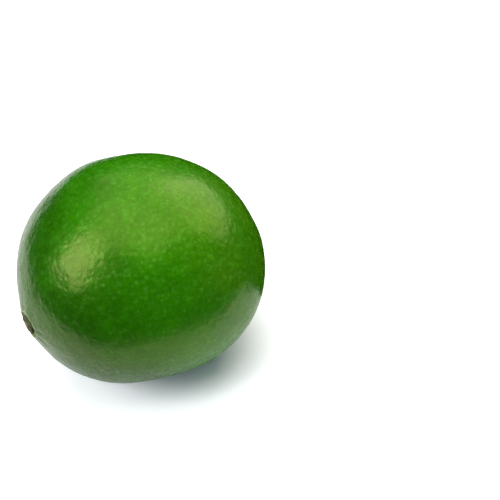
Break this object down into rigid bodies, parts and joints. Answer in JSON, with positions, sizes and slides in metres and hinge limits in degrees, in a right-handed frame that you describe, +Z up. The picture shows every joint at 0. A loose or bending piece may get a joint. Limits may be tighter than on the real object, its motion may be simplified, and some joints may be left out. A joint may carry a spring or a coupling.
{
  "type": "lime",
  "caption": "Whole green lime lying on its side: a blunt oval fruit with a low nipple at the blossom end and a dried stem button seated in a raised collar at the other.",
  "frame": {"origin": "middle of the underside of the part's box, on the surface that the fruit rests on", "axes": "+X along the fruit's long axis, towards the blossom end; +Z up, away from the surface it rests on; +Y completes the right-handed frame"},
  "size_m": [0.0608, 0.0556, 0.0551],
  "materials": {
    "rind": "satin",
    "dried_calyx": "matte"
  },
  "bodies": {
    "root": {"fruit": "rind", "stem_button": "dried_calyx"}
  },
  "joints": []
}
